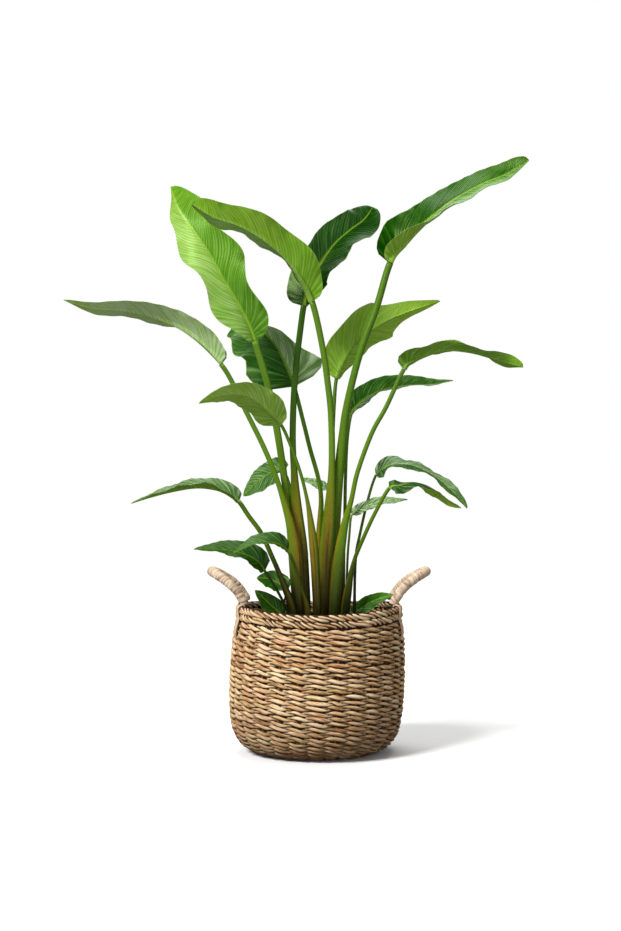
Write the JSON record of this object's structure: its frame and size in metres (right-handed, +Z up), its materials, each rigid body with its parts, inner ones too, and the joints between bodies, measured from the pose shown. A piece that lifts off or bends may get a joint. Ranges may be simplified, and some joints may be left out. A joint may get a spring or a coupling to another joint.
{
  "type": "potted house plant",
  "caption": "Bird of paradise house plant with large paddle leaves on clustered stalks, in a round woven seagrass basket with rope handles.",
  "frame": {"origin": "centre of the flat underside of the basket", "axes": "+Z up, -Y towards the front, +X to the right as seen from the front"},
  "size_m": [0.7891, 0.3417, 1.0099],
  "materials": {
    "seagrass": "dry woven seagrass in straw, cream and tan",
    "jute": "matt pale jute cord",
    "black_plastic": "matt black moulded plastic",
    "soil": "crumbly dark potting mix of bark and peat",
    "leaf_blade": "waxy leaf, glossy dark green above and duller pale green below",
    "leaf_stalk": "smooth satin green stem, bronze along the edges of its sheath"
  },
  "bodies": {
    "root": {"basket": "seagrass", "handle_left": "jute", "handle_right": "jute", "grow_pot": "black_plastic", "soil": "soil", "leaf_01_blade": "leaf_blade", "leaf_01_stalk": "leaf_stalk", "leaf_02_blade": "leaf_blade", "leaf_02_stalk": "leaf_stalk", "leaf_03_blade": "leaf_blade", "leaf_03_stalk": "leaf_stalk", "leaf_04_blade": "leaf_blade", "leaf_04_stalk": "leaf_stalk", "leaf_05_blade": "leaf_blade", "leaf_05_stalk": "leaf_stalk", "leaf_06_blade": "leaf_blade", "leaf_06_stalk": "leaf_stalk", "leaf_07_blade": "leaf_blade", "leaf_07_stalk": "leaf_stalk", "leaf_08_blade": "leaf_blade", "leaf_08_stalk": "leaf_stalk", "leaf_09_blade": "leaf_blade", "leaf_09_stalk": "leaf_stalk", "leaf_10_blade": "leaf_blade", "leaf_10_stalk": "leaf_stalk", "leaf_11_blade": "leaf_blade", "leaf_11_stalk": "leaf_stalk", "leaf_12_blade": "leaf_blade", "leaf_12_stalk": "leaf_stalk", "leaf_13_blade": "leaf_blade", "leaf_13_stalk": "leaf_stalk", "leaf_14_blade": "leaf_blade", "leaf_14_stalk": "leaf_stalk", "leaf_15_blade": "leaf_blade", "leaf_15_stalk": "leaf_stalk", "leaf_16_blade": "leaf_blade", "leaf_16_stalk": "leaf_stalk", "leaf_17_blade": "leaf_blade", "leaf_17_stalk": "leaf_stalk", "leaf_18_blade": "leaf_blade", "leaf_18_stalk": "leaf_stalk", "leaf_19_blade": "leaf_blade", "leaf_19_stalk": "leaf_stalk", "leaf_20_blade": "leaf_blade", "leaf_20_stalk": "leaf_stalk", "leaf_21_blade": "leaf_blade", "leaf_21_stalk": "leaf_stalk"}
  },
  "joints": []
}
